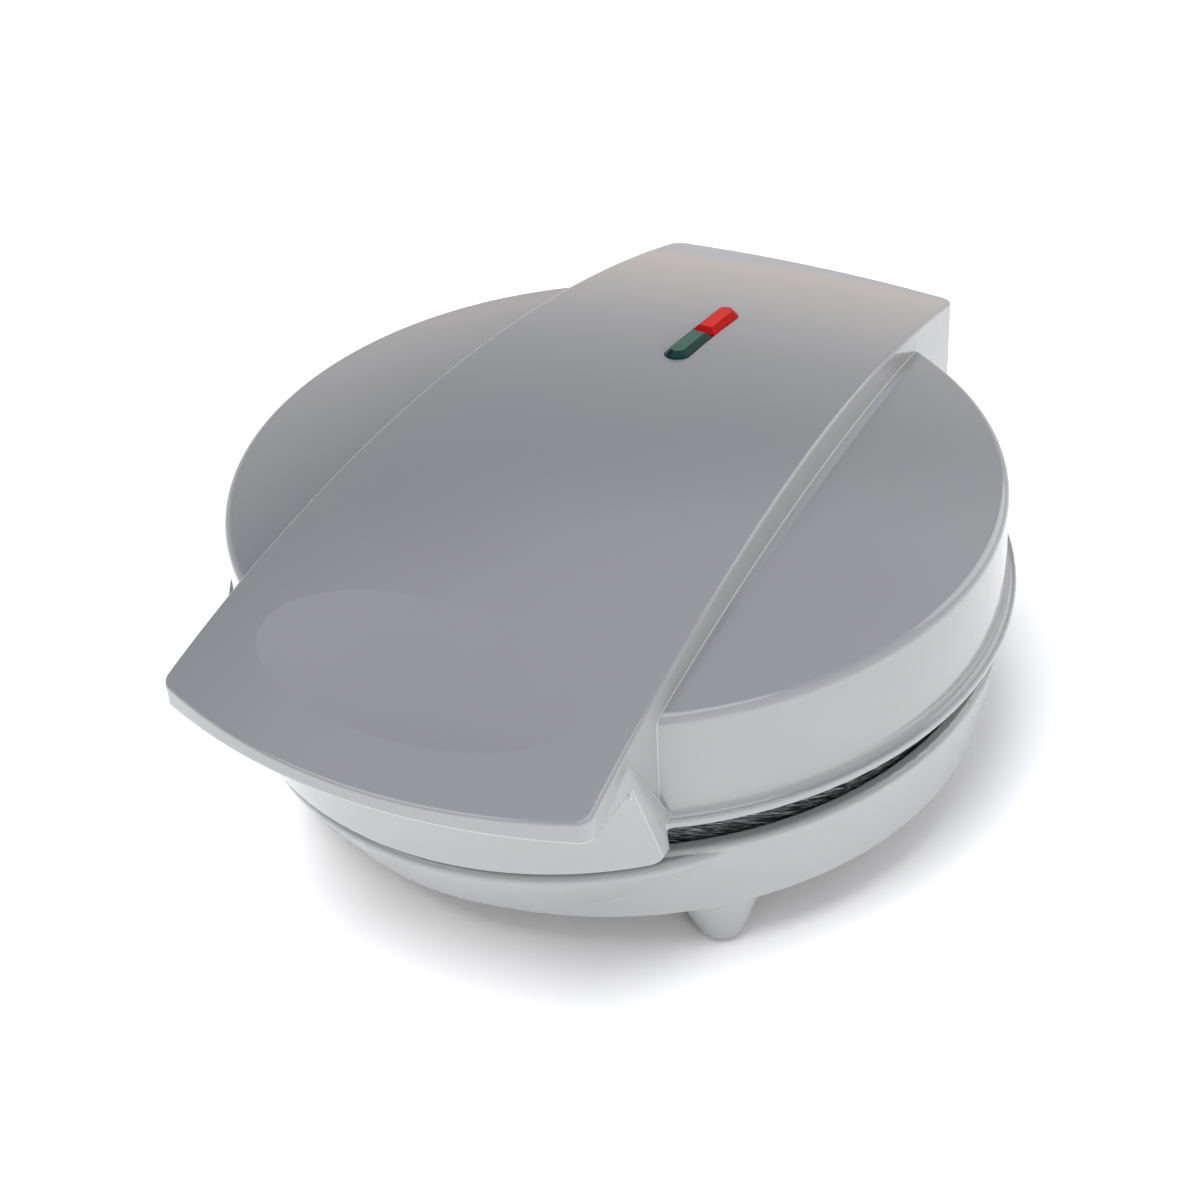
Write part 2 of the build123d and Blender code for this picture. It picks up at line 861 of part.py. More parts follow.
lower_clips = element_clips(seam_height, -1)
save(lower_clips, "lower_element_clips")
upper_clips = element_clips(upper_seam, 1)
save(upper_clips, "upper_element_clips")
clip_seat = cup_depth + clip_sheet
for name, seam, turn in (("lower", seam_height, -1), ("upper", upper_seam, 1)):
    clip_screws = screws(
        level(seam + turn * clip_seat, turn),
        placed(clip_spots, turn),
        clip_screw_radius,
        clip_screw_length + clip_sheet - 0.5,
        clip_head_radius,
        clip_head_height,
    )
    save(clip_screws, f"{name}_clip_screws")


# Heat shields

def heat_shield(seam, turn):
    # Shallow sheet dish behind the element, its rim turned towards the plate
    back = level(seam + turn * (shield_depth + shield_sheet), -turn)
    with BuildPart(back) as shield:
        Cylinder(shield_radius, shield_sheet + shield_rim, align=low)
        with BuildSketch(back.offset(shield_sheet)):
            Circle(shield_radius - shield_sheet)
        extrude(amount=shield_rim + 1, mode=Mode.SUBTRACT)
        with Locations(*placed(shield_spots, -turn)):
            Cylinder(clip_screw_radius + play / 2, shield_sheet, align=low, mode=Mode.SUBTRACT)
    return shield


for name, seam, turn in (("lower", seam_height, -1), ("upper", upper_seam, 1)):
    save(heat_shield(seam, turn), f"{name}_heat_shield")
    shield_screws = screws(
        level(seam + turn * shield_depth, -turn),
        placed(shield_spots, -turn),
        clip_screw_radius,
        shield_screw_length - 0.5,
        clip_head_radius,
        shield_gap - play,
    )
    save(shield_screws, f"{name}_shield_screws")


# Hinge pins

def hinge_pin(side, bore):
    # Headed pin through a base arm and a lid lug; the right one is hollow for the leads
    plane = Plane(origin=(side * arm_inner, plate_y + hinge_y, hinge_height), z_dir=(side, 0, 0))
    with BuildPart(plane) as pin:
        Cylinder(pin_radius, arm_width + play + lug_width, align=low)
        Cylinder(pin_radius + 1.2, pin_head, align=high)
        if bore:
            Cylinder(bore, 4 * arm_width, mode=Mode.SUBTRACT)
    return pin


save(hinge_pin(-1, 0), "hinge_pin_left")
save(hinge_pin(1, pin_bore), "hinge_pin_right")


# Lamp lenses, their carrier and the two neon lamps

def lamp_lens(end):
    # Half of a long rounded lens with a raised, sloped face and a flange under the roof
    with BuildPart() as lens:
        with BuildSketch(window.offset(-lens_seat)) as face:
            SlotOverall(window_length - 2 * lens_play, window_width - 2 * lens_play, rotation=90)
            with Locations((0, -end * (window_length / 2 - lens_gap / 2))):
                Rectangle(2 * window_width, window_length, mode=Mode.SUBTRACT)
        extrude(amount=lens_seat + lens_proud)
        chamfer(lens.edges().group_by(Axis((0, 0, 0), window.z_dir))[-1], lens_slope)
        with BuildSketch(window.offset(-lens_seat)):
            SlotOverall(window_length + 2 * lens_rim, window_width + 2 * lens_rim, rotation=90)
            with Locations((0, -end * (window_length / 2 - lens_gap / 4))):
                Rectangle(3 * window_width, window_length + 4 * lens_rim, mode=Mode.SUBTRACT)
        extrude(amount=-lens_flange)
    return lens


save(lamp_lens(1), "red_lens")
save(lamp_lens(-1), "green_lens")

with BuildPart() as lamp_carrier:
    with BuildSketch(window.offset(-carrier_seat)):
        Rectangle(carrier_width, carrier_length)
    extrude(amount=-carrier_depth)
    with BuildSketch(window.offset(-carrier_seat)):
        with Locations((0, carrier_length / 4), (0, -carrier_length / 4)):
            Rectangle(carrier_width - 2 * carrier_wall, carrier_length / 2 - 1.5 * carrier_wall)
    extrude(amount=-carrier_depth + carrier_wall, mode=Mode.SUBTRACT)
    with BuildSketch(window.offset(-carrier_seat)):
        SlotOverall(2 * (carrier_screw_y + carrier_post), 2 * carrier_post, rotation=90)
        Rectangle(carrier_width, carrier_length, mode=Mode.SUBTRACT)
        with Locations((0, carrier_screw_y), (0, -carrier_screw_y)):
            Circle(clip_screw_radius + play / 2, mode=Mode.SUBTRACT)
    extrude(amount=-carrier_wall)
save(lamp_carrier, "lamp_carrier")

carrier_screws = screws(
    window.offset(-carrier_seat - carrier_wall).rotated((180, 0, 0)),
    [(0, carrier_screw_y), (0, -carrier_screw_y)],
    clip_screw_radius,
    carrier_wall + wall,
    clip_head_radius,
    clip_head_height,
)
save(carrier_screws, "carrier_screws")

lamp_radius = 2.7
lamp_length = 15.0
lamp_depth = carrier_seat + carrier_depth - carrier_wall - lamp_radius


def neon_lamp(end):
    # Small glass lamp lying in its chamber, with a rounded tip and a pinched base
    middle = end * carrier_length / 4
    plane = window.offset(-lamp_depth)
    axis = Axis(plane.from_local_coords((0, 0, 0)), plane.y_dir)
    with BuildPart() as lamp:
        with BuildSketch(plane):
            with BuildLine():
                side = Polyline(
                    (0, middle - lamp_length / 2),
                    (lamp_radius, middle - lamp_length / 2),
                    (lamp_radius, middle + lamp_length / 2 - lamp_radius),
                )
                tip = RadiusArc(side @ 1, (0, middle + lamp_length / 2), -lamp_radius)
                Line(tip @ 1, side @ 0)
            make_face()
        revolve(axis=axis)
    return lamp


save(neon_lamp(1), "red_lamp")
save(neon_lamp(-1), "green_lamp")


# Thermostat on the middle ring of the upper plate

with BuildPart() as thermostat:
    with BuildSketch(level(thermostat_seat)):
        SlotOverall(2 * thermostat_screw_x + thermostat_ear_width, thermostat_ear_width)
        with Locations((thermostat_screw_x, 0), (-thermostat_screw_x, 0)):
            Circle(clip_screw_radius + play / 2, mode=Mode.SUBTRACT)
    extrude(amount=thermostat_ear)
    with BuildSketch(level(thermostat_seat)):
        Circle(thermostat_radius)
    extrude(amount=thermostat_height)
    chamfer(thermostat.faces().sort_by(Axis.Z)[-1].edges(), thermostat_edge)
    with BuildSketch(level(thermostat_seat + blade_rise)):
        with Locations((blade_spread, blade_reach / 2), (-blade_spread, blade_reach / 2)):
            Rectangle(blade_size[0], blade_reach)
    extrude(amount=blade_size[1] / 2, both=True)
save(thermostat, "thermostat")

thermostat_screws = screws(
    level(thermostat_seat + thermostat_ear),
    [(thermostat_screw_x, 0), (-thermostat_screw_x, 0)],
    clip_screw_radius,
    thermostat_ear + thermostat_screw_grip,
    thermostat_head_radius,
    clip_head_height,
)
save(thermostat_screws, "thermostat_screws")


# Terminal block on the floor of the base

with BuildPart() as terminal_block:
    with Locations((block_x, plate_y + block_y, floor_top)):
        Box(*block_size, align=low)
    with BuildSketch(level(floor_top + block_size[2])):
        with Locations((block_x, block_y)):
            with GridLocations(block_size[0] / 3, 1, 3, 1):
                Circle(block_screw_radius)
    extrude(amount=-block_size[2] / 2, mode=Mode.SUBTRACT)
save(terminal_block, "terminal_block")


# Cord gland in the back wall

gland_middle = wall_radius(inlet_height + inlet_flange) + play / 2
with BuildPart() as cord_gland:
    with BuildSketch(Plane(origin=(inlet_x, plate_y, inlet_height), z_dir=(0, 0, 1))):
        with BuildLine():
            Polyline(
                (inlet_bore, gland_middle - 8),
                (inlet_flange - 0.8, gland_middle - 8),
                (inlet_flange - 0.8, gland_middle - 6.5),
                (inlet_radius, gland_middle - 6.5),
                (inlet_radius, gland_middle),
                (inlet_flange, gland_middle),
                (inlet_flange, gland_middle + 1.5),
                (inlet_radius, gland_middle + 2),
                (inlet_radius - 0.4, gland_middle + inlet_length),
                (inlet_bore, gland_middle + inlet_length),
                close=True,
            )
        make_face()
    revolve(axis=Axis((inlet_x, plate_y, inlet_height), (0, 1, 0)))
save(cord_gland, "cord_gland")


# Wiring, in sleeves that meet on the hinge axis inside the hollow pin

def lead(points, radius, widest=12.0):
    # Round insulated lead along straight runs, rounded at each turn as wide as the runs allow
    path = [Vector(*p) for p in points]
    runs = [b - a for a, b in zip(path, path[1:])]
    bends = []
    for before, after in zip(runs, runs[1:]):
        shorter = min(before.length, after.length)
        half_turn = radians(before.get_angle(after)) / 2
        bends.append(min(widest, 0.45 * shorter / tan(half_turn)))
    with BuildPart() as wire:
        with BuildLine() as route:
            run = FilletPolyline(*points, radius=bends)
        with BuildSketch(Plane(origin=run @ 0, z_dir=run % 0)):
            Circle(radius)
        sweep(path=route.wires()[0])
    return wire.part


pin_y = plate_y + element_leg + terminal_length
behind = pin_y + lead_room
meeting_x = arm_inner + arm_width + play / 2
block_end = block_x + block_size[0] / 2
block_line = plate_y + block_y
low_pins = seam_height - element_depth
high_pins = upper_seam + element_depth
over_pins = low_pins + element_radius + play
near_drop = floor_top + lead_drop[0]
far_drop = floor_top + lead_drop[1]

sleeve_run = [
    (block_end, block_line + sleeve_line, lead_low),
    lead_rise,
    lead_exit,
    (lead_x, *hinge_line),
    (meeting_x, *hinge_line),
]
near_pin_run = [
    (block_end, block_line + pin_line, near_drop),
    (block_end + lead_stub, block_line + pin_line, near_drop),
    (-element_gap, behind, near_drop),
    (-element_gap, behind, low_pins),
    (-element_gap, pin_y, low_pins),
]
far_pin_run = [
    (block_end, block_line + pin_line, far_drop),
    (block_end + lead_stub, block_line + pin_line, far_drop),
    (block_end + 2 * lead_stub, block_line + pin_line + play, over_pins),
    (element_gap - lead_stub, behind, over_pins),
    (element_gap, behind, low_pins),
    (element_gap, pin_y, low_pins),
]
with BuildPart() as base_wiring:
    add(lead(sleeve_run, lead_radius, lead_turn))
    add(lead(near_pin_run, fine_lead))
    add(lead(far_pin_run, fine_lead))
save(base_wiring, "base_wiring")

lid_lead_x = band_rear_half - wall - lead_radius - 1.4
spread_x = element_gap + lead_room
sleeve_y = behind + lead_stub
thermostat_line = thermostat_seat + blade_rise
blade_end = plate_y + blade_reach
lid_sleeve_run = [
    (meeting_x, *hinge_line),
    (lid_lead_x, *hinge_line),
    (lid_lead_x, sleeve_y, high_pins),
    (spread_x, sleeve_y, high_pins),
]
right_pin_run = [
    (spread_x + fine_lead, sleeve_y - lead_pitch / 2, high_pins),
    (element_gap, sleeve_y - lead_pitch / 2, high_pins),
    (element_gap, pin_y, high_pins),
]
left_pin_run = [
    (spread_x + fine_lead, sleeve_y + lead_pitch / 2, high_pins),
    (-element_gap, sleeve_y + lead_pitch / 2, high_pins),
    (-element_gap, pin_y, high_pins),
]
right_blade_run = [
    (spread_x + fine_lead, sleeve_y - lead_pitch / 4, high_pins + fine_lead),
    (blade_spread, behind, thermostat_line),
    (blade_spread, blade_end, thermostat_line),
]
left_blade_run = [
    (spread_x + fine_lead, sleeve_y + lead_pitch / 4, high_pins + fine_lead),
    (-blade_spread, behind + lead_pitch, thermostat_line),
    (-blade_spread, blade_end, thermostat_line),
]
with BuildPart() as lid_wiring:
    add(lead(lid_sleeve_run, lead_radius))
    add(lead(right_pin_run, fine_lead))
    add(lead(left_pin_run, fine_lead))
    add(lead(right_blade_run, fine_lead))
    add(lead(left_blade_run, fine_lead))
save(lid_wiring, "lid_wiring")
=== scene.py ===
from math import cos, radians, sin

import bpy
from mathutils import Matrix, Vector

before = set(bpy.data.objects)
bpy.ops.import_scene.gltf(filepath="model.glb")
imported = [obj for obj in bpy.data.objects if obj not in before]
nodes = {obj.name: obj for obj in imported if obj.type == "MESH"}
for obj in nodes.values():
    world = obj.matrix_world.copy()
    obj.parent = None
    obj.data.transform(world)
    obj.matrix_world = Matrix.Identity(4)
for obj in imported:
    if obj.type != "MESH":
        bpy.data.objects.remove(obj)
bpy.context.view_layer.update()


# Camera
# A long lens looks down on the lid from the front right. Its place was solved from points of
# the photograph, as turns about the middle of the lid's top and a shift across the view.

azimuth = radians(31.014)
elevation = radians(36.814)
roll = radians(-3.674)
distance = 0.58764
shift_right = -0.003682
shift_up = -0.032924
lid_middle = Vector((0.0, 0.0026, 0.081))
sensor_width = 36.0
photo_width = 1200
focal_pixels = 2293.322

back = Vector((sin(azimuth) * cos(elevation), -cos(azimuth) * cos(elevation), sin(elevation)))
level_right = Vector((cos(azimuth), sin(azimuth), 0.0))
level_up = back.cross(level_right)
right = level_right * cos(roll) + level_up * sin(roll)
up = level_up * cos(roll) - level_right * sin(roll)
stand = lid_middle + back * distance + right * shift_right + up * shift_up

camera_data = bpy.data.cameras.new("camera")
camera_data.lens = focal_pixels / photo_width * sensor_width
camera_data.sensor_width = sensor_width
camera_data.clip_start = 0.01
camera = bpy.data.objects.new("camera", camera_data)
camera.matrix_world = Matrix.Translation(stand) @ Matrix((right, up, back)).transposed().to_4x4()
bpy.context.scene.collection.objects.link(camera)
bpy.context.scene.camera = camera
bpy.context.scene.view_settings.view_transform = "Standard"


# Studio tent
# White cloth hangs all round the table. It is bright at the horizon, most of all at the rear
# left, dim above that, and ends overhead in a light panel that comes down lower on the right.
# So the walls come out light, and the lid's gloss runs from a dark middle to a light rear end.

tent_warm = "#FFF2E4"
tent_cool = "#E8F0FF"
front_glow = 0.63
rear_glow = 1.3
dim_glow = 0.20
panel_glow = 0.80
rear_skew = -0.8
rear_range = (-0.6, 1.1)
dim_range = (0.12, 0.70)
panel_side = 0.1
panel_lean = 0.5
panel_range = (0.38, 0.60)

# Sockets of a Mix node for colours: its three inputs and its output
mix_share, mix_first, mix_second, mix_colour = 0, 6, 7, 2


def linear(code):
    # Scene-linear colour from an sRGB hex code
    shares = [int(code[n:n + 2], 16) / 255 for n in (1, 3, 5)]
    return [s / 12.92 if s <= 0.04045 else ((s + 0.055) / 1.055) ** 2.4 for s in shares] + [1.0]


def add_node(tree, kind, inputs, **settings):
    # A node with its settings; an input is a plain value or the socket that feeds it
    node = tree.nodes.new(kind)
    for name, value in settings.items():
        setattr(node, name, value)
    for name, value in inputs.items():
        if isinstance(value, bpy.types.NodeSocket):
            tree.links.new(value, node.inputs[name])
        else:
            node.inputs[name].default_value = value
    return node


world = bpy.data.worlds.new("studio_tent")
bpy.context.scene.world = world
world.use_nodes = True
tree = world.node_tree
tree.nodes.clear()
direction = add_node(tree, "ShaderNodeTexCoord", {})
ways = add_node(tree, "ShaderNodeSeparateXYZ", {"Vector": direction.outputs["Generated"]})
rearward = add_node(
    tree, "ShaderNodeMath",
    {0: ways.outputs["X"], 1: rear_skew, 2: ways.outputs["Y"]},
    operation="MULTIPLY_ADD",
)
horizon = add_node(
    tree, "ShaderNodeMapRange",
    {"Value": rearward.outputs[0], "From Min": rear_range[0], "From Max": rear_range[1],
     "To Min": front_glow, "To Max": rear_glow},
    interpolation_type="SMOOTHSTEP",
)
cloth = add_node(
    tree, "ShaderNodeMapRange",
    {"Value": ways.outputs["Z"], "From Min": dim_range[0], "From Max": dim_range[1],
     "To Min": horizon.outputs["Result"], "To Max": dim_glow},
    interpolation_type="SMOOTHSTEP",
)
side = add_node(
    tree, "ShaderNodeMath", {0: ways.outputs["X"], 1: panel_side}, operation="MINIMUM"
)
lean = add_node(
    tree, "ShaderNodeMath",
    {0: side.outputs[0], 1: panel_lean, 2: ways.outputs["Z"]},
    operation="MULTIPLY_ADD",
)
panel = add_node(
    tree, "ShaderNodeMapRange",
    {"Value": lean.outputs[0], "From Min": panel_range[0], "From Max": panel_range[1],
     "To Max": panel_glow},
    interpolation_type="SMOOTHSTEP",
)
strength = add_node(
    tree, "ShaderNodeMath",
    {0: cloth.outputs["Result"], 1: panel.outputs["Result"]},
    operation="ADD",
)
tint = add_node(
    tree, "ShaderNodeMix",
    {mix_share: ways.outputs["Z"], mix_first: linear(tent_warm), mix_second: linear(tent_cool)},
    data_type="RGBA",
)
tent = add_node(
    tree, "ShaderNodeBackground",
    {"Color": tint.outputs[mix_colour], "Strength": strength.outputs[0]},
)

# The camera, and what glass lets through, see plain white in place of the cloth
plain = add_node(tree, "ShaderNodeBackground", {"Color": linear("#FFFFFF"), "Strength": 1.0})
ray = add_node(tree, "ShaderNodeLightPath", {})
straight = add_node(
    tree, "ShaderNodeMath",
    {0: ray.outputs["Is Camera Ray"], 1: ray.outputs["Is Transmission Ray"]},
    operation="MAXIMUM",
)
seen = add_node(
    tree, "ShaderNodeMixShader",
    {0: straight.outputs[0], 1: tent.outputs[0], 2: plain.outputs[0]},
)
add_node(tree, "ShaderNodeOutputWorld", {"Surface": seen.outputs[0]})


# Table
# A matt white top. Near the object it is lit as it is and takes the shadow. Further out it
# turns into the plain white of the backdrop, for the camera and for what gloss and glass show.

table_size = 8.0
table_white = "#EEEEEE"
table_lift = 0.02
white_from = 0.30
white_at = 0.70


def new_material(name):
    # An empty node material, and its tree
    material = bpy.data.materials.new(name)
    material.use_nodes = True
    material.node_tree.nodes.clear()
    return material, material.node_tree


matt_white, tree = new_material("matt_white_table")
ray = add_node(tree, "ShaderNodeLightPath", {})
lift = add_node(
    tree, "ShaderNodeMath", {0: ray.outputs["Is Camera Ray"], 1: table_lift}, operation="MULTIPLY"
)
lit = add_node(tree, "ShaderNodeBsdfDiffuse", {"Color": linear(table_white)})
lifted = add_node(tree, "ShaderNodeEmission", {"Strength": lift.outputs[0]})
near = add_node(tree, "ShaderNodeAddShader", {0: lit.outputs[0], 1: lifted.outputs[0]})
far = add_node(tree, "ShaderNodeEmission", {"Strength": 1.0})
on_table = add_node(tree, "ShaderNodeTexCoord", {})
reach = add_node(
    tree, "ShaderNodeVectorMath", {0: on_table.outputs["Object"]}, operation="LENGTH"
)
fade = add_node(
    tree, "ShaderNodeMapRange",
    {"Value": reach.outputs["Value"], "From Min": white_from, "From Max": white_at},
    interpolation_type="SMOOTHSTEP",
)
shown = add_node(
    tree, "ShaderNodeMath",
    {0: ray.outputs["Is Camera Ray"], 1: ray.outputs["Is Glossy Ray"]},
    operation="MAXIMUM",
)
shown = add_node(
    tree, "ShaderNodeMath",
    {0: shown.outputs[0], 1: ray.outputs["Is Transmission Ray"]},
    operation="MAXIMUM",
)
whitened = add_node(
    tree, "ShaderNodeMath", {0: fade.outputs[0], 1: shown.outputs[0]}, operation="MULTIPLY"
)
top = add_node(
    tree, "ShaderNodeMixShader", {0: whitened.outputs[0], 1: near.outputs[0], 2: far.outputs[0]}
)
add_node(tree, "ShaderNodeOutputMaterial", {"Surface": top.outputs[0]})

bpy.ops.object.select_all(action="DESELECT")
bpy.ops.mesh.primitive_plane_add(size=table_size, location=(0, 0, 0))
table = bpy.context.object
table.name = "table"
table.data.materials.append(matt_white)


# Studio lamps
# A softbox low at the front right lights the walls and isn't mirrored in them. A lamp overhead
# lights the table alone. Three round cards show only in the gloss of the housing: as bright
# lines along its edges, and from above as soft patches.

# Name, place, size across and watts
softboxes = (
    ("softbox_right", (0.95, -0.68, 0.42), 0.32, 3.8),
    ("table_lamp", (-0.12, -0.32, 1.00), 0.85, 15.5),
    ("card_above", (0.12, -0.08, 0.95), 0.60, 2.6),
    ("card_front", (-0.34, -0.55, 0.76), 0.56, 2.6),
    ("card_behind", (0.45, 0.85, 0.65), 0.80, 3.6),
)
lamp_aim = Vector((0, 0, 0.05))

lamps = {}
for name, place, size, power in softboxes:
    lamp_data = bpy.data.lights.new(name, "AREA")
    lamp_data.shape = "DISK"
    lamp_data.size = size
    lamp_data.energy = power
    lamps[name] = bpy.data.objects.new(name, lamp_data)
    bpy.context.scene.collection.objects.link(lamps[name])
    facing = (lamp_aim - Vector(place)).to_track_quat("-Z", "Y").to_matrix().to_4x4()
    lamps[name].matrix_world = Matrix.Translation(place) @ facing

lamps["softbox_right"].visible_glossy = False

lit_table = bpy.data.collections.new("lit_by_table_lamp")
lit_table.objects.link(table)
lamps["table_lamp"].light_linking.receiver_collection = lit_table

lit_housing = bpy.data.collections.new("lit_by_cards")
for name in ("lid_housing", "base_housing"):
    lit_housing.objects.link(nodes[name])
for name in ("card_above", "card_front", "card_behind"):
    lamps[name].visible_diffuse = False
    lamps[name].light_linking.receiver_collection = lit_housing


# Housing
# Lid and base are injection-moulded ABS, silver grey right through and polished by the mould:
# a glossy skin with a faint orange peel, a flat colour with a painted highlight along the
# corners, and soft broad reflections.

grey_warm = "#9D9E9E"
grey_cool = "#989A9C"
# The palest grey is a painted highlight, laid on the corners
corner_painted_highlight = "#E2E3E4"
gloss_range = (0.07, 0.11)
cloud_size = 0.045
peel_size = 0.0014
peel_depth = 0.0002
corner_round = 0.0007
# Where the painted highlight goes on the corners, and how strong it is
painted_highlight_range = (1.0, 0.82)
painted_highlight_share = 0.6


def dress(material, *names):
    # A CAD node keeps its mesh and gets the material in place of its own
    for name in names:
        node = nodes[name]
        node.data.materials.clear()
        node.data.materials.append(material)


# The grey drifts by a hair between warm and cool, and the gloss with it, as in any moulding
abs_plastic, tree = new_material("moulded_abs_silver_grey")
on_piece = add_node(tree, "ShaderNodeTexCoord", {})
cloud = add_node(
    tree, "ShaderNodeTexNoise",
    {"Vector": on_piece.outputs["Object"], "Scale": 1 / cloud_size, "Detail": 2.0},
)
grey = add_node(
    tree, "ShaderNodeMix",
    {mix_share: cloud.outputs["Fac"], mix_first: linear(grey_warm),
     mix_second: linear(grey_cool)},
    data_type="RGBA",
)
gloss = add_node(
    tree, "ShaderNodeMapRange",
    {"Value": cloud.outputs["Fac"], "To Min": gloss_range[0], "To Max": gloss_range[1]},
)

# The light rolls round every sharp moulded corner, and an orange peel lies on the skin
corner = add_node(tree, "ShaderNodeBevel", {"Radius": corner_round}, samples=8)
peel = add_node(
    tree, "ShaderNodeTexNoise",
    {"Vector": on_piece.outputs["Object"], "Scale": 1 / peel_size, "Detail": 1.0},
)
skin = add_node(
    tree, "ShaderNodeBump",
    {"Height": peel.outputs["Fac"], "Strength": 0.02, "Distance": peel_depth,
     "Normal": corner.outputs[0]},
)

# Painted highlight: corners are made paler where the rounded normal leaves that of the flat face
flat_face = add_node(tree, "ShaderNodeNewGeometry", {})
bend = add_node(
    tree, "ShaderNodeVectorMath",
    {0: corner.outputs[0], 1: flat_face.outputs["Normal"]},
    operation="DOT_PRODUCT",
)
painted_highlight_mask = add_node(
    tree, "ShaderNodeMapRange",
    {"Value": bend.outputs["Value"], "From Min": painted_highlight_range[0], "From Max": painted_highlight_range[1],
     "To Max": painted_highlight_share},
)
grey_with_painted_highlight = add_node(
    tree, "ShaderNodeMix",
    {mix_share: painted_highlight_mask.outputs[0], mix_first: grey.outputs[mix_colour],
     mix_second: linear(corner_painted_highlight)},
    data_type="RGBA",
)
surface = add_node(
    tree, "ShaderNodeBsdfPrincipled",
    {"Base Color": grey_with_painted_highlight.outputs[mix_colour], "Roughness": gloss.outputs[0], "IOR": 1.53,
     "Normal": skin.outputs[0]},
)
add_node(tree, "ShaderNodeOutputMaterial", {"Surface": surface.outputs[0]})
dress(abs_plastic, "lid_housing", "base_housing")


# Foot pads and cord gland
# Black rubber, moulded and left as it comes out of the tool: soft, matt, with a fine grain.
# The pads are pushed into the feet, the gland is snapped into the back wall.

rubber_tones = ("#151516", "#2A2A2B")
rubber_dull = (0.66, 0.86)
bloom_size = 0.004
grain_size = 0.0005
grain_depth = 0.0001


def two_tone_surface(tree, pattern, tones, roughness, inputs):
    # Colour and roughness follow one pattern, each between two values. The inputs are what
    # else the real surface has, such as an IOR, metal or a grain.
    tone = add_node(
        tree, "ShaderNodeMix",
        {mix_share: pattern, mix_first: linear(tones[0]), mix_second: linear(tones[1])},
        data_type="RGBA",
    )
    rough = add_node(
        tree, "ShaderNodeMapRange",
        {"Value": pattern, "To Min": roughness[0], "To Max": roughness[1]},
    )
    surface = add_node(
        tree, "ShaderNodeBsdfPrincipled",
        {"Base Color": tone.outputs[mix_colour], "Roughness": rough.outputs[0], **inputs},
    )
    add_node(tree, "ShaderNodeOutputMaterial", {"Surface": surface.outputs[0]})


# A greyish bloom lies on the black in patches, duller than the bare rubber
rubber, tree = new_material("moulded_black_rubber")
on_piece = add_node(tree, "ShaderNodeTexCoord", {})
bloom = add_node(
    tree, "ShaderNodeTexNoise",
    {"Vector": on_piece.outputs["Object"], "Scale": 1 / bloom_size, "Detail": 3.0},
)
grain = add_node(
    tree, "ShaderNodeTexNoise",
    {"Vector": on_piece.outputs["Object"], "Scale": 1 / grain_size, "Detail": 1.0},
)
skin = add_node(
    tree, "ShaderNodeBump",
    {"Height": grain.outputs["Fac"], "Strength": 0.25, "Distance": grain_depth},
)
two_tone_surface(
    tree, bloom.outputs["Fac"], rubber_tones, rubber_dull,
    {"IOR": 1.52, "Normal": skin.outputs[0]},
)
dress(rubber, "foot_pads", "cord_gland")


# Lamp window
# Two lenses of clear tinted acrylic, polished by the mould and cut like an emerald: a flat top
# and a slope all round. They are pushed into one slot of the band, end to end.

# Name, deep tint of the slopes, bright tint painted on the flat top as light, and specular level
lens_tints_with_painted_light = (
    ("green", "#023A34", "#0A6450", 0.20),
    ("red", "#C40802", "#F41004", 0.05),
)
lens_gloss = (0.02, 0.05)
flow_size = 0.006
# How far a face must point up to get the painted light of the flat top
painted_light_top_range = (0.78, 0.97)

# Painted light: the upward-facing flat top gets the bright tint and the slopes the deep one, in
# place of light seen through the plastic
for name, deep, bright, sheen in lens_tints_with_painted_light:
    acrylic, tree = new_material("clear_acrylic_" + name)
    on_piece = add_node(tree, "ShaderNodeTexCoord", {})
    facing = add_node(
        tree, "ShaderNodeSeparateXYZ", {"Vector": on_piece.outputs["Normal"]}
    )
    painted_light_top_share = add_node(
        tree, "ShaderNodeMapRange",
        {"Value": facing.outputs["Z"], "From Min": painted_light_top_range[0], "From Max": painted_light_top_range[1]},
    )
    tint_with_painted_light = add_node(
        tree, "ShaderNodeMix",
        {mix_share: painted_light_top_share.outputs[0], mix_first: linear(deep), mix_second: linear(bright)},
        data_type="RGBA",
    )
    flow = add_node(
        tree, "ShaderNodeTexNoise",
        {"Vector": on_piece.outputs["Object"], "Scale": 1 / flow_size, "Detail": 1.0},
    )
    gloss = add_node(
        tree, "ShaderNodeMapRange",
        {"Value": flow.outputs["Fac"], "To Min": lens_gloss[0], "To Max": lens_gloss[1]},
    )
    surface = add_node(
        tree, "ShaderNodeBsdfPrincipled",
        {"Base Color": tint_with_painted_light.outputs[mix_colour], "Roughness": gloss.outputs[0], "IOR": 1.49,
         "Specular IOR Level": sheen, "Transmission Weight": 0.15},
    )
    add_node(tree, "ShaderNodeOutputMaterial", {"Surface": surface.outputs[0]})
    dress(acrylic, name + "_lens")


# Heating plates
# Die-cast aluminium, turned round the edge and sprayed with black non-stick. Each plate is
# screwed into its housing, and only its edge shows while the lid is shut.

coat_black = "#17181A"
metal_bare = "#9EA2A6"
coat_gloss = (0.24, 0.40)
plate_shift = (0.0, -lid_middle.y, 0.0)
edge_radius = 0.0956
edge_range = (edge_radius - 0.0008, edge_radius - 0.0003)
mark_length = 0.005
mark_width = 0.0003
mark_slant = 0.3
bare_range = (0.48, 0.72)
spray_size = 0.0012
spray_depth = 0.0001

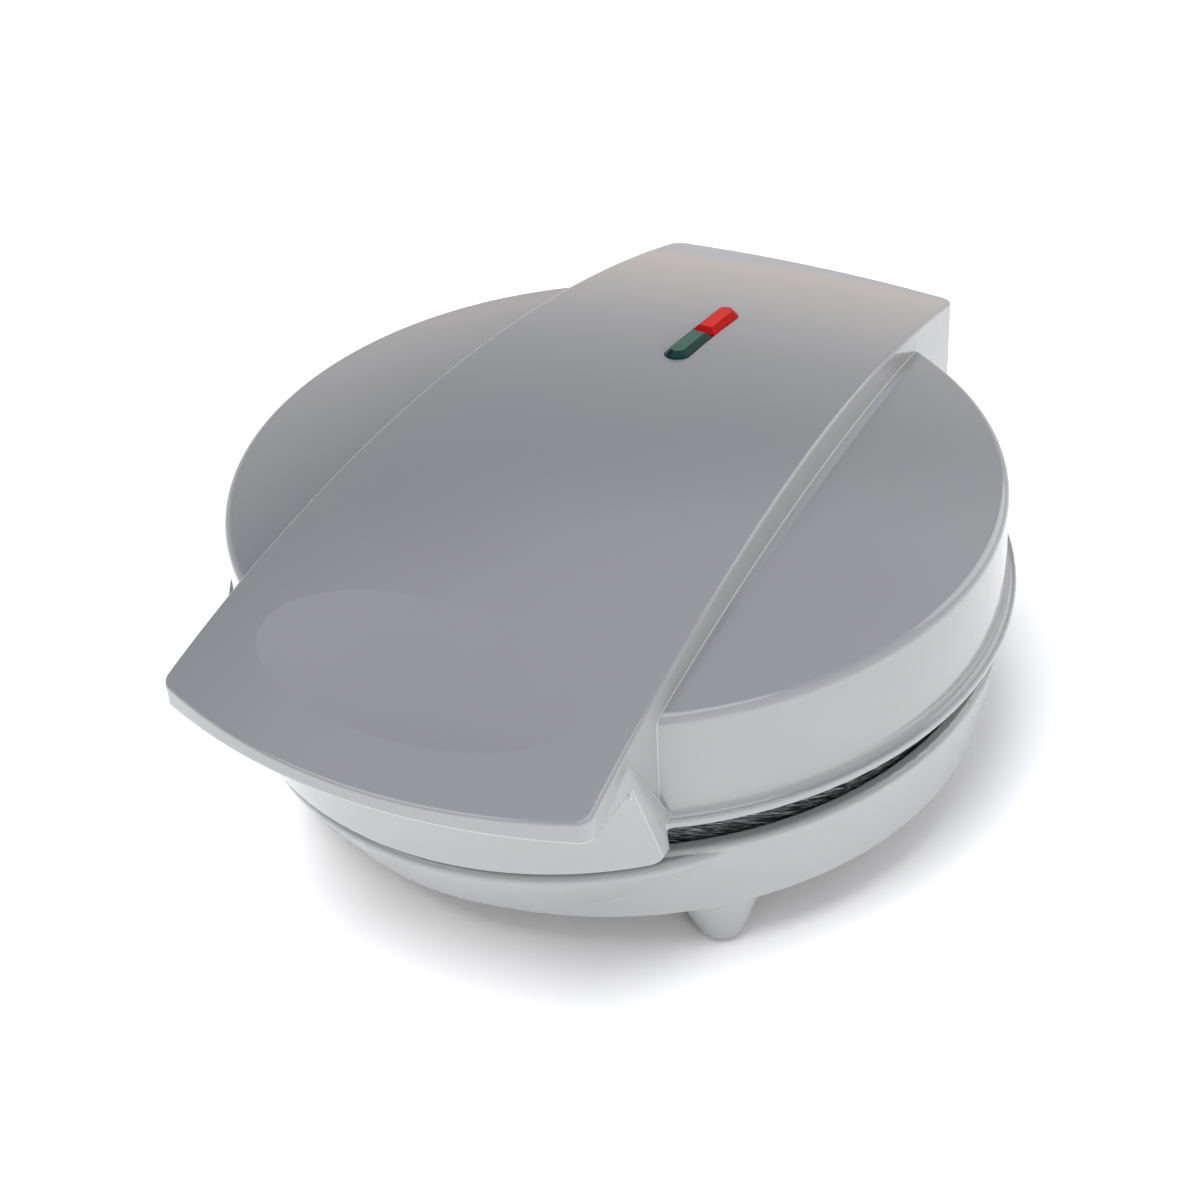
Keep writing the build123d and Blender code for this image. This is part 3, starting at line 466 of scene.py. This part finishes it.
# Tool marks run round the plate in long fine streaks: the turn about its middle gives their
# length, the height their width, and they rise a little as they go round
coated, tree = new_material("nonstick_coated_cast_aluminium")
on_piece = add_node(tree, "ShaderNodeTexCoord", {})
centred = add_node(
    tree, "ShaderNodeMapping", {"Vector": on_piece.outputs["Object"], "Location": plate_shift}
)
spot = add_node(tree, "ShaderNodeSeparateXYZ", {"Vector": centred.outputs[0]})
turn = add_node(
    tree, "ShaderNodeMath", {0: spot.outputs["Y"], 1: spot.outputs["X"]}, operation="ARCTAN2"
)
along = add_node(
    tree, "ShaderNodeMath",
    {0: turn.outputs[0], 1: edge_radius / mark_length},
    operation="MULTIPLY",
)
risen = add_node(
    tree, "ShaderNodeMath",
    {0: turn.outputs[0], 1: edge_radius * mark_slant, 2: spot.outputs["Z"]},
    operation="MULTIPLY_ADD",
)
across = add_node(
    tree, "ShaderNodeMath", {0: risen.outputs[0], 1: mark_width}, operation="DIVIDE"
)
unrolled = add_node(
    tree, "ShaderNodeCombineXYZ", {"X": along.outputs[0], "Y": across.outputs[0]}
)
marks = add_node(
    tree, "ShaderNodeTexNoise",
    {"Vector": unrolled.outputs[0], "Scale": 1.0, "Detail": 2.0, "Distortion": 1.2},
)

# On the edge alone the coat is thin, and the marks shine through it from black to pale grey
level = add_node(
    tree, "ShaderNodeMapping", {"Vector": centred.outputs[0], "Scale": (1.0, 1.0, 0.0)}
)
reach = add_node(tree, "ShaderNodeVectorMath", {0: level.outputs[0]}, operation="LENGTH")
edge = add_node(
    tree, "ShaderNodeMapRange",
    {"Value": reach.outputs["Value"], "From Min": edge_range[0], "From Max": edge_range[1]},
)
bare = add_node(
    tree, "ShaderNodeMapRange",
    {"Value": marks.outputs["Fac"], "From Min": bare_range[0], "From Max": bare_range[1],
     "To Max": edge.outputs[0]},
)
coat = add_node(
    tree, "ShaderNodeMix",
    {mix_share: bare.outputs[0], mix_first: linear(coat_black), mix_second: linear(metal_bare)},
    data_type="RGBA",
)

# The sprayed coat has dried satin, with a fine orange peel over the moulds
spray = add_node(
    tree, "ShaderNodeTexNoise",
    {"Vector": on_piece.outputs["Object"], "Scale": 1 / spray_size, "Detail": 2.0},
)
satin = add_node(
    tree, "ShaderNodeMapRange",
    {"Value": spray.outputs["Fac"], "To Min": coat_gloss[0], "To Max": coat_gloss[1]},
)
skin = add_node(
    tree, "ShaderNodeBump",
    {"Height": spray.outputs["Fac"], "Strength": 0.15, "Distance": spray_depth},
)
surface = add_node(
    tree, "ShaderNodeBsdfPrincipled",
    {"Base Color": coat.outputs[mix_colour], "Roughness": satin.outputs[0], "IOR": 1.38,
     "Normal": skin.outputs[0]},
)
add_node(tree, "ShaderNodeOutputMaterial", {"Surface": surface.outputs[0]})
dress(coated, "lower_plate", "upper_plate")


# Heating elements
# Steel tubes with a resistance wire in magnesia, bent to a ring and clamped to the back of
# each plate.

tube_tones = ("#3A3A40", "#7A6A58")
scale_dull = (0.36, 0.56)
heat_size = 0.012

# The heat has turned the steel brown to blue-black in patches, with a dull scale on it
sheath, tree = new_material("heat_darkened_steel_tube")
on_piece = add_node(tree, "ShaderNodeTexCoord", {})
heat = add_node(
    tree, "ShaderNodeTexNoise",
    {"Vector": on_piece.outputs["Object"], "Scale": 1 / heat_size, "Detail": 3.0},
)
two_tone_surface(tree, heat.outputs["Fac"], tube_tones, scale_dull, {"Metallic": 1.0})
dress(sheath, "lower_element", "upper_element")


# Clips and heat shields
# Pressed from galvanised sheet steel. The clips hold the elements to the plates, the shields
# keep the heat off the plastic, and all are held by screws.

zinc_tones = ("#A6ABAE", "#C9CDCE")
zinc_dull = (0.26, 0.44)
flake_size = 0.005

# The zinc has frozen into flakes a few millimetres across, each with its own shine
galvanised, tree = new_material("galvanised_sheet_steel")
on_piece = add_node(tree, "ShaderNodeTexCoord", {})
flake = add_node(
    tree, "ShaderNodeTexVoronoi",
    {"Vector": on_piece.outputs["Object"], "Scale": 1 / flake_size},
)
two_tone_surface(tree, flake.outputs["Color"], zinc_tones, zinc_dull, {"Metallic": 1.0})
dress(
    galvanised,
    "lower_element_clips", "upper_element_clips", "lower_heat_shield", "upper_heat_shield",
)


# Screws
# Cold-headed steel screws with bright zinc plating. They hold the plates, clips, shields, lamp
# carrier and thermostat.

plating_tones = ("#BFC3C6", "#CFCDC0")
plating_gloss = (0.22, 0.36)
cast_size = 0.002

# The plating is clean but not polished, with a faint yellow cast where it is thin
plated, tree = new_material("zinc_plated_steel")
on_piece = add_node(tree, "ShaderNodeTexCoord", {})
cast = add_node(
    tree, "ShaderNodeTexNoise",
    {"Vector": on_piece.outputs["Object"], "Scale": 1 / cast_size, "Detail": 2.0},
)
two_tone_surface(tree, cast.outputs["Fac"], plating_tones, plating_gloss, {"Metallic": 1.0})
dress(
    plated,
    "lower_plate_screws", "upper_plate_screws", "lower_clip_screws", "upper_clip_screws",
    "lower_shield_screws", "upper_shield_screws", "carrier_screws", "thermostat_screws",
)


# Hinge pins
# Turned from bright drawn steel bar. They lie along X in the arms of the base and carry the
# lid; the right one is hollow for the leads.

bar_tones = ("#B9BCBE", "#D0D2D3")
bar_gloss = (0.16, 0.28)
ring_size = 0.0012
ring_depth = 0.00005

# The lathe tool has left fine bright rings across the pin. A wave of this size lays one ring
# every 0.4 mm.
turned, tree = new_material("turned_bright_steel")
on_piece = add_node(tree, "ShaderNodeTexCoord", {})
rings = add_node(
    tree, "ShaderNodeTexWave",
    {"Vector": on_piece.outputs["Object"], "Scale": 1 / ring_size, "Distortion": 0.4},
)
skin = add_node(
    tree, "ShaderNodeBump",
    {"Height": rings.outputs["Fac"], "Strength": 0.1, "Distance": ring_depth},
)
two_tone_surface(
    tree, rings.outputs["Fac"], bar_tones, bar_gloss,
    {"Metallic": 1.0, "Normal": skin.outputs[0]},
)
dress(turned, "hinge_pin_left", "hinge_pin_right")


# Inner mouldings
# Lamp carrier, thermostat body and terminal block are pressed from ivory thermoset, which
# stands the heat. They sit in the lid, on the upper plate and on the floor of the base.

ivory_tones = ("#E2DCCB", "#CFC7B2")
ivory_dull = (0.42, 0.58)
fleck_size = 0.0009
fleck_depth = 0.0001

# Hard and half matt, with a fine darker fleck of filler in it
ivory, tree = new_material("pressed_ivory_thermoset")
on_piece = add_node(tree, "ShaderNodeTexCoord", {})
fleck = add_node(
    tree, "ShaderNodeTexNoise",
    {"Vector": on_piece.outputs["Object"], "Scale": 1 / fleck_size, "Detail": 3.0},
)
skin = add_node(
    tree, "ShaderNodeBump",
    {"Height": fleck.outputs["Fac"], "Strength": 0.1, "Distance": fleck_depth},
)
two_tone_surface(
    tree, fleck.outputs["Fac"], ivory_tones, ivory_dull,
    {"IOR": 1.6, "Normal": skin.outputs[0]},
)
dress(ivory, "lamp_carrier", "thermostat", "terminal_block")


# Lamps
# Two neon lamps in clear blown glass, each with a rounded tip. They lie in the chambers of the
# carrier, one behind each lens.

glass_tones = ("#F7E6DC", "#FBF3EE")
glass_gloss = (0.01, 0.04)
wave_size = 0.003
wave_depth = 0.0002

# The wall of the glass is slightly wavy, with a faint warm cast from the gas behind it
blown_glass, tree = new_material("blown_lamp_glass")
on_piece = add_node(tree, "ShaderNodeTexCoord", {})
wave = add_node(
    tree, "ShaderNodeTexNoise",
    {"Vector": on_piece.outputs["Object"], "Scale": 1 / wave_size, "Detail": 0.0},
)
skin = add_node(
    tree, "ShaderNodeBump",
    {"Height": wave.outputs["Fac"], "Strength": 0.2, "Distance": wave_depth},
)
two_tone_surface(
    tree, wave.outputs["Fac"], glass_tones, glass_gloss,
    {"IOR": 1.5, "Transmission Weight": 0.9, "Normal": skin.outputs[0]},
)
dress(blown_glass, "red_lamp", "green_lamp")


# Wiring
# Stranded leads in a braided glass-fibre sleeve, cream white. They run from the terminal block
# through the hollow hinge pin to the lid.

sleeve_tones = ("#8F8B7E", "#DEDACC")
sleeve_dull = (0.88, 0.7)
yarn_size = 0.003
yarn_depth = 0.0002

# Two sets of yarns cross at a slant, with dark gaps between them. A wave of this size lays the
# yarns 1.1 mm apart. A real braid is finer: this one is as coarse as it needs to show.
sleeve, tree = new_material("braided_glass_fibre_sleeve")
on_piece = add_node(tree, "ShaderNodeTexCoord", {})
yarns = []
for way in (1.0, -1.0):
    slant = add_node(
        tree, "ShaderNodeMapping",
        {"Vector": on_piece.outputs["Object"], "Scale": (way, 1.0, 1.0)},
    )
    yarns.append(add_node(
        tree, "ShaderNodeTexWave",
        {"Vector": slant.outputs[0], "Scale": 1 / yarn_size, "Distortion": 0.5},
        bands_direction="DIAGONAL",
    ))
braid = add_node(
    tree, "ShaderNodeMath",
    {0: yarns[0].outputs["Fac"], 1: yarns[1].outputs["Fac"]},
    operation="MAXIMUM",
)
skin = add_node(
    tree, "ShaderNodeBump",
    {"Height": braid.outputs[0], "Strength": 0.5, "Distance": yarn_depth},
)
two_tone_surface(
    tree, braid.outputs[0], sleeve_tones, sleeve_dull,
    {"IOR": 1.5, "Normal": skin.outputs[0]},
)
dress(sleeve, "base_wiring", "lid_wiring")
